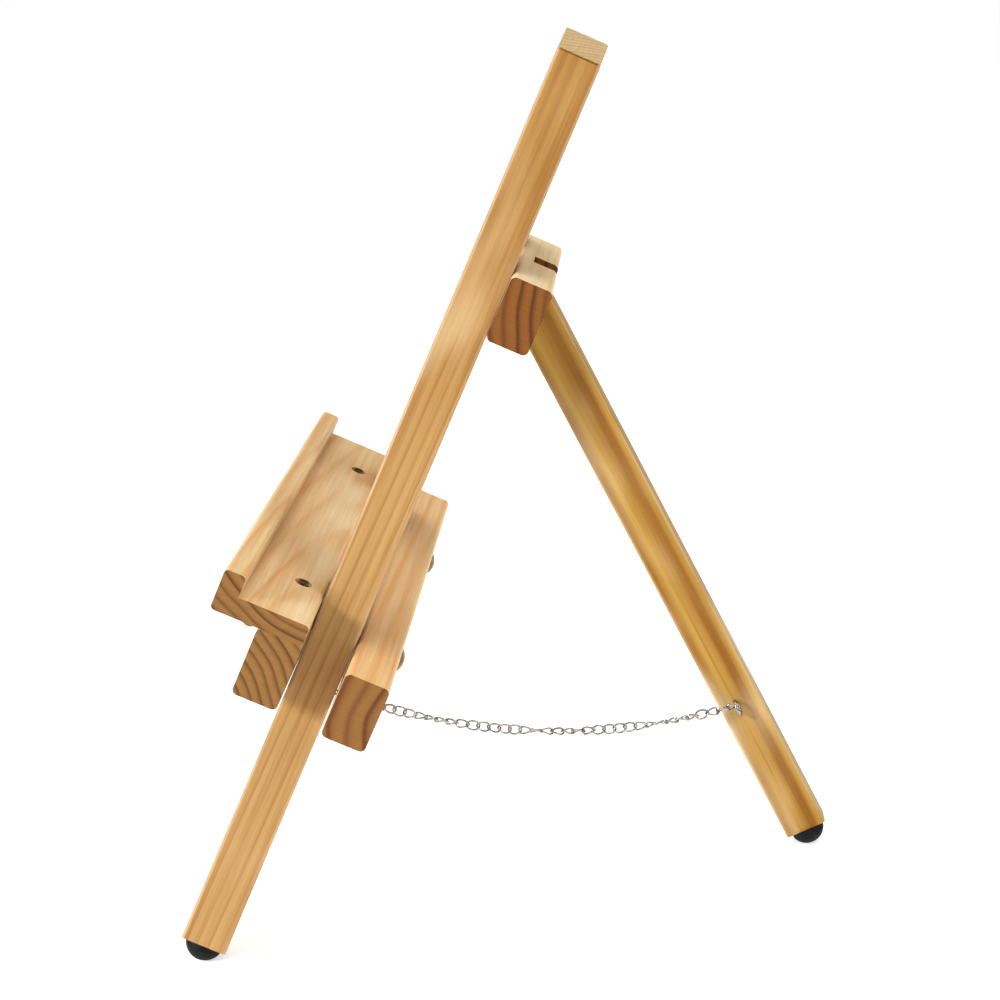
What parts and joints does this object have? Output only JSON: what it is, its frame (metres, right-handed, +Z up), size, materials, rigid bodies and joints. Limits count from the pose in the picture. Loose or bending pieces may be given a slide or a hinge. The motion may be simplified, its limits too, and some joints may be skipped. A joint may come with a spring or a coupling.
{
  "type": "tabletop easel",
  "caption": "Tabletop A-frame easel: splayed front legs, a rear leg that folds in a slotted block and stops on a chain, and a lipped tray clamped on the legs by wing nuts.",
  "frame": {"origin": "centre of the easel's footprint, on the ground: midway between its frontmost and rearmost points and on the front frame's centre line", "axes": "+Z up, -Y the way the easel faces, +X to the right of a viewer in front of it, the side that the chain is on"},
  "size_m": [0.2768, 0.2866, 0.3842],
  "materials": {
    "pine": "satin clear lacquer, honey-coloured softwood with dark growth lines",
    "pale_pine": "satin clear lacquer, paler softwood",
    "black_rubber": "matt",
    "nickel": "bright nickel plate",
    "yellow_zinc": "yellow zinc plate",
    "steel": "plain bright steel"
  },
  "bodies": {
    "frame": {"left_leg": "pine", "right_leg": "pine", "apex_screw": "yellow_zinc", "hinge_block": "pale_pine", "block_screws": "yellow_zinc", "hinge_pin": "steel", "front_left_foot": "black_rubber", "front_right_foot": "black_rubber", "front_foot_nails": "steel", "front_screw_eye": "nickel"},
    "tray_clamp": {"tray": "pale_pine", "tray_screws": "yellow_zinc", "ledger": "pine", "clamp_bar": "pine", "clamp_bolts": "yellow_zinc", "clamp_washers": "yellow_zinc"},
    "left_wing_nut": {"left_wing_nut": "yellow_zinc"},
    "right_wing_nut": {"right_wing_nut": "yellow_zinc"},
    "rear_leg": {"rear_leg": "pine", "rear_foot": "black_rubber", "rear_foot_nail": "steel", "rear_screw_eye": "nickel"},
    "chain_run_1": {"chain_run_1": "nickel"},
    "chain_run_2": {"chain_run_2": "nickel"},
    "chain_run_3": {"chain_run_3": "nickel"},
    "chain_run_4": {"chain_run_4": "nickel"},
    "chain_run_5": {"chain_run_5": "nickel"},
    "chain_run_6": {"chain_run_6": "nickel"}
  },
  "joints": [
    {"name": "rear_leg_fold", "type": "hinge", "parent": "frame", "child": "rear_leg", "pos_m": [0, 0.00004, 0.2641], "axis": [1, 0, 0], "range_deg": [-42, 0], "deforming": ["chain_run_1", "chain_run_2", "chain_run_3", "chain_run_4", "chain_run_5", "chain_run_6"]},
    {"name": "clamp_slide", "type": "slide", "parent": "frame", "child": "tray_clamp", "axis": [0, 0.3875, 0.9219], "range_m": [0, 0.02]},
    {"name": "left_wing_nut_turn", "type": "hinge", "parent": "tray_clamp", "child": "left_wing_nut", "pos_m": [-0.065, -0.11445, 0.14062], "axis": [0, 0.9219, -0.3875], "continuous": true},
    {"name": "right_wing_nut_turn", "type": "hinge", "parent": "tray_clamp", "child": "right_wing_nut", "pos_m": [0.065, -0.11445, 0.14062], "axis": [0, 0.9219, -0.3875], "continuous": true},
    {"name": "chain_run_1_swing", "type": "hinge", "parent": "frame", "child": "chain_run_1", "pos_m": [0.07272, -0.09196, 0.10639], "axis": [0.8029, -0.0402, 0.5947], "range_deg": [-83.3, 0]},
    {"name": "chain_run_2_swing", "type": "hinge", "parent": "chain_run_1", "child": "chain_run_2", "pos_m": [0.06474, -0.06649, 0.0942], "axis": [0.5473, -0.7778, 0.3091], "range_deg": [-139.5, 0]},
    {"name": "chain_run_3_swing", "type": "hinge", "parent": "chain_run_2", "child": "chain_run_3", "pos_m": [0.05477, -0.0347, 0.08252], "axis": [0.4983, -0.8223, -0.2749], "range_deg": [-30.1, 0]},
    {"name": "chain_run_6_swing", "type": "hinge", "parent": "rear_leg", "child": "chain_run_6", "pos_m": [0.01325, 0.09776, 0.07618], "axis": [-0.996, -0.039, 0.0808], "range_deg": [-138.1, 0]},
    {"name": "chain_run_5_swing", "type": "hinge", "parent": "chain_run_6", "child": "chain_run_5", "pos_m": [0.02344, 0.06528, 0.07142], "axis": [0.4377, 0.7785, -0.4499], "range_deg": [-72.1, 0]},
    {"name": "chain_run_4_swing", "type": "hinge", "parent": "chain_run_5", "child": "chain_run_4", "pos_m": [0.03399, 0.0316, 0.07082], "axis": [0.4672, -0.7032, -0.536], "range_deg": [-147.6, 0]}
  ],
  "couplings": [
    {"joint": "chain_run_1_swing", "follows": "rear_leg_fold", "ratio": 1.9807},
    {"joint": "chain_run_2_swing", "follows": "rear_leg_fold", "ratio": 3.3171},
    {"joint": "chain_run_3_swing", "follows": "rear_leg_fold", "ratio": 0.7123},
    {"joint": "chain_run_6_swing", "follows": "rear_leg_fold", "ratio": 3.2856},
    {"joint": "chain_run_5_swing", "follows": "rear_leg_fold", "ratio": 1.7131},
    {"joint": "chain_run_4_swing", "follows": "rear_leg_fold", "ratio": 3.5119}
  ]
}
